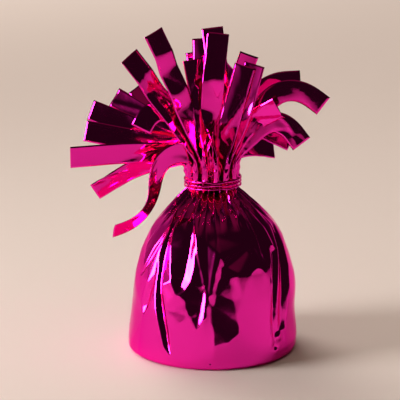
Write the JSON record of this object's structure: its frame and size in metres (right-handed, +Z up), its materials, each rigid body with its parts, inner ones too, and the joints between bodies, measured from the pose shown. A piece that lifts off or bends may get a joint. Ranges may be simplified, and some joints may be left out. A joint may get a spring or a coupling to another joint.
{
  "type": "balloon weight",
  "caption": "Free-standing balloon weight: a filled cup wrapped in pleated mirror film, tied at the neck under a tuft of springy film strips.",
  "frame": {"origin": "middle of the flat underside", "axes": "+Z up, from the underside to the tuft; -Y is the front that the picture shows; +X to its right"},
  "size_m": [0.0938, 0.0813, 0.1237],
  "materials": {
    "mirror_film": "magenta metallised film, mirror gloss",
    "tie_cord": "smooth magenta cord",
    "cup_plastic": "moulded, satin",
    "filler": "cast mineral filler, rough",
    "card": "plain coated card"
  },
  "bodies": {
    "root": {"base_disc": "card", "ballast": "filler", "weight_cup": "cup_plastic", "cup_lid": "cup_plastic", "wrapper": "mirror_film", "neck_tie": "tie_cord", "strip_roots": "mirror_film", "strip_03": "mirror_film", "strip_05": "mirror_film", "strip_07": "mirror_film", "strip_09": "mirror_film", "strip_10": "mirror_film", "strip_11": "mirror_film", "strip_12": "mirror_film", "strip_14": "mirror_film", "strip_18": "mirror_film", "strip_22": "mirror_film", "strip_23": "mirror_film", "strip_24": "mirror_film", "strip_25": "mirror_film", "strip_26": "mirror_film", "strip_27": "mirror_film", "strip_30": "mirror_film"},
    "tongue_01": {"strip_01": "mirror_film"},
    "tongue_02": {"strip_02": "mirror_film"},
    "tongue_04": {"strip_04": "mirror_film"},
    "tongue_06": {"strip_06": "mirror_film"},
    "tongue_08": {"strip_08": "mirror_film"},
    "tongue_13": {"strip_13": "mirror_film"},
    "tongue_15": {"strip_15": "mirror_film"},
    "tongue_16": {"strip_16": "mirror_film"},
    "tongue_17": {"strip_17": "mirror_film"},
    "tongue_19": {"strip_19": "mirror_film"},
    "tongue_20": {"strip_20": "mirror_film"},
    "tongue_21": {"strip_21": "mirror_film"},
    "tongue_28": {"strip_28": "mirror_film"},
    "tongue_29": {"strip_29": "mirror_film"}
  },
  "joints": [
    {"name": "flex_01", "type": "hinge", "parent": "root", "child": "tongue_01", "pos_m": [0.00984, 0.00103, 0.0796], "axis": [-0.7905, -0.0831, 0.6068], "range_deg": [-10, 10], "stiffness_Nm_per_rad": 0.002},
    {"name": "flex_02", "type": "hinge", "parent": "root", "child": "tongue_02", "pos_m": [0.00843, 0.00274, 0.08003], "axis": [-0.8557, -0.278, 0.4364], "range_deg": [-10, 10], "stiffness_Nm_per_rad": 0.002},
    {"name": "flex_04", "type": "hinge", "parent": "root", "child": "tongue_04", "pos_m": [0.00895, 0.00806, 0.07812], "axis": [-0.4337, -0.2692, 0.8599], "range_deg": [-6, 12], "stiffness_Nm_per_rad": 0.002},
    {"name": "flex_06", "type": "hinge", "parent": "root", "child": "tongue_06", "pos_m": [0.00514, 0.01155, 0.07749], "axis": [-0.1835, -0.3341, 0.9245], "range_deg": [-12, 12], "stiffness_Nm_per_rad": 0.002},
    {"name": "flex_08", "type": "hinge", "parent": "root", "child": "tongue_08", "pos_m": [0, 0.01164, 0.07848], "axis": [-0.0424, -0.5769, 0.8157], "range_deg": [-12, 6], "stiffness_Nm_per_rad": 0.002},
    {"name": "flex_13", "type": "hinge", "parent": "root", "child": "tongue_13", "pos_m": [-0.01056, 0.0061, 0.07797], "axis": [0.4106, -0.2371, 0.8804], "range_deg": [-9, 9], "stiffness_Nm_per_rad": 0.002},
    {"name": "flex_15", "type": "hinge", "parent": "root", "child": "tongue_15", "pos_m": [-0.01333, 0.0014, 0.07647], "axis": [0.1794, -0.0189, 0.9836], "range_deg": [-10, 12], "stiffness_Nm_per_rad": 0.002},
    {"name": "flex_16", "type": "hinge", "parent": "root", "child": "tongue_16", "pos_m": [-0.01427, -0.0015, 0.07429], "axis": [-0.2061, -0.1022, 0.9732], "range_deg": [-12, 9], "stiffness_Nm_per_rad": 0.002},
    {"name": "flex_17", "type": "hinge", "parent": "root", "child": "tongue_17", "pos_m": [-0.01304, -0.00424, 0.07592], "axis": [0.0734, 0.0238, 0.997], "range_deg": [-9, 12], "stiffness_Nm_per_rad": 0.002},
    {"name": "flex_19", "type": "hinge", "parent": "root", "child": "tongue_19", "pos_m": [-0.01016, -0.00815, 0.07686], "axis": [0.1425, 0.0602, 0.988], "range_deg": [-14, 12], "stiffness_Nm_per_rad": 0.002},
    {"name": "flex_20", "type": "hinge", "parent": "root", "child": "tongue_20", "pos_m": [-0.00633, -0.00737, 0.07966], "axis": [0.681, 0.4583, 0.5711], "range_deg": [-6, 6], "stiffness_Nm_per_rad": 0.002},
    {"name": "flex_21", "type": "hinge", "parent": "root", "child": "tongue_21", "pos_m": [-0.00395, -0.00764, 0.0801], "axis": [0.6132, 0.6783, 0.4049], "range_deg": [-6, 6], "stiffness_Nm_per_rad": 0.002},
    {"name": "flex_28", "type": "hinge", "parent": "root", "child": "tongue_28", "pos_m": [0.00954, -0.00513, 0.07906], "axis": [-0.6395, 0.2785, 0.7166], "range_deg": [-7, 7], "stiffness_Nm_per_rad": 0.002},
    {"name": "flex_29", "type": "hinge", "parent": "root", "child": "tongue_29", "pos_m": [0.00925, -0.00287, 0.0797], "axis": [-0.8032, 0.2117, 0.5568], "range_deg": [-7, 12], "stiffness_Nm_per_rad": 0.002}
  ]
}
